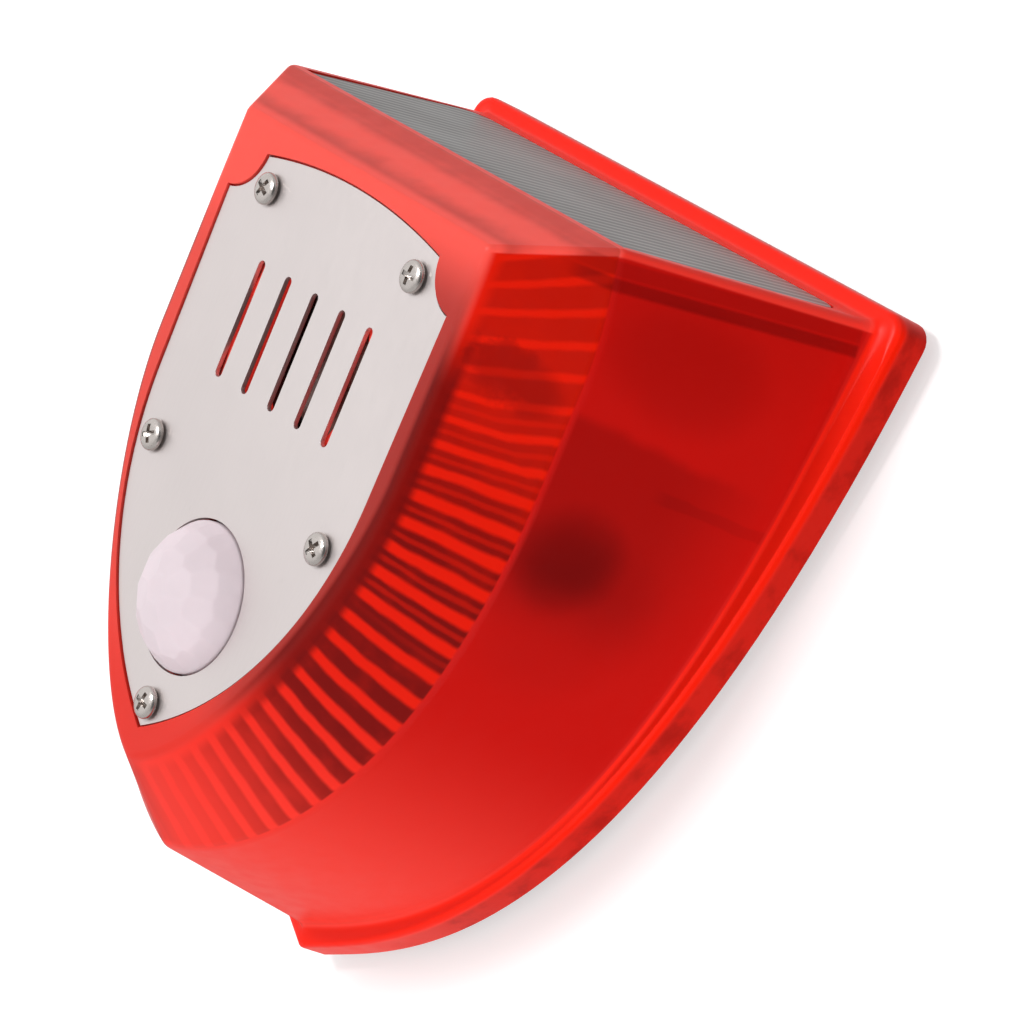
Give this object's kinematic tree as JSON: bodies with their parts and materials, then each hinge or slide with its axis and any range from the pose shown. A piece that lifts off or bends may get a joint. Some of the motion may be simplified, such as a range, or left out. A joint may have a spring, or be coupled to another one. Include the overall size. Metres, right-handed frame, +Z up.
{
  "type": "solar alarm siren",
  "caption": "Shield-shaped wall alarm siren with a translucent red cover, slotted steel face plate, domed motion sensor, top solar panel and flat rear cover with keyholes.",
  "frame": {"origin": "on the flat back face that goes against the wall, on the mirror plane, 60 mm below the top edge", "axes": "+Y out of the back into the wall, -Y towards the viewer, +Z up, X across"},
  "size_m": [0.1008, 0.059, 0.1197],
  "materials": {
    "red_cover": "translucent red polycarbonate, frosted inside, smooth outside",
    "satin_steel": "satin stainless sheet, warm grey",
    "bright_screw": "bright nickel plate",
    "sensor_lens": "milky white polyethylene, satin",
    "black_plastic": "black, fine matte grain",
    "charcoal_plastic": "charcoal ABS, matte grain",
    "button_rubber": "dark grey silicone cap, matte",
    "seal_rubber": "black foam rubber",
    "board": "green solder mask",
    "led_resin": "tinted clear epoxy, red",
    "solar_face": "grey silicon cells with fine pale lines under smooth resin",
    "tape": "black double-sided foam tape",
    "metal_can": "plain pressed metal",
    "cone_paper": "dark brown-black pressed film",
    "coil_copper": "lacquered copper winding on a core",
    "capacitor_sleeve": "dark blue sleeve",
    "socket_nylon": "natural white nylon",
    "cell_sleeve": "blue shrink sleeve over a metal can",
    "lead_red": "red wire insulation",
    "lead_black": "black wire insulation"
  },
  "bodies": {
    "siren_body": {"face_plate": "satin_steel", "face_screw_1": "bright_screw", "face_screw_2": "bright_screw", "face_screw_3": "bright_screw", "face_screw_4": "bright_screw", "face_screw_5": "bright_screw", "pir_lens": "sensor_lens", "pir_ring": "black_plastic", "pir_sensor": "metal_can", "siren_frame": "black_plastic", "siren_cone": "cone_paper", "siren_gasket": "seal_rubber", "siren_magnet": "metal_can", "main_board": "board", "led_1": "led_resin", "led_2": "led_resin", "led_3": "led_resin", "led_4": "led_resin", "led_5": "led_resin", "led_6": "led_resin", "board_screw_1": "bright_screw", "board_screw_2": "bright_screw", "board_screw_3": "bright_screw", "board_screw_4": "bright_screw", "control_chip": "black_plastic", "capacitor": "capacitor_sleeve", "siren_coil": "coil_copper", "battery_socket": "socket_nylon", "solar_socket": "socket_nylon", "siren_socket": "socket_nylon", "solar_panel": "solar_face", "panel_tape": "tape", "front_cover": "red_cover", "rear_cover": "charcoal_plastic", "rear_seal": "seal_rubber", "rear_screw_1": "bright_screw", "rear_screw_2": "bright_screw", "rear_screw_3": "bright_screw", "rear_screw_4": "bright_screw", "battery_cell": "cell_sleeve", "battery_holder": "black_plastic", "battery_clip_plus": "metal_can", "battery_clip_minus": "metal_can", "power_switch": "black_plastic", "switch_bracket": "metal_can", "battery_lead_black": "lead_black", "solar_lead_black": "lead_black", "siren_lead_black": "lead_black", "battery_lead_red": "lead_red", "solar_lead_red": "lead_red", "siren_lead_red": "lead_red"},
    "button": {"power_button": "button_rubber"}
  },
  "joints": [
    {"name": "button_press", "type": "slide", "parent": "siren_body", "child": "button", "axis": [0, -1, 0], "range_m": [0, 0.0015], "stiffness_N_per_m": 200}
  ]
}
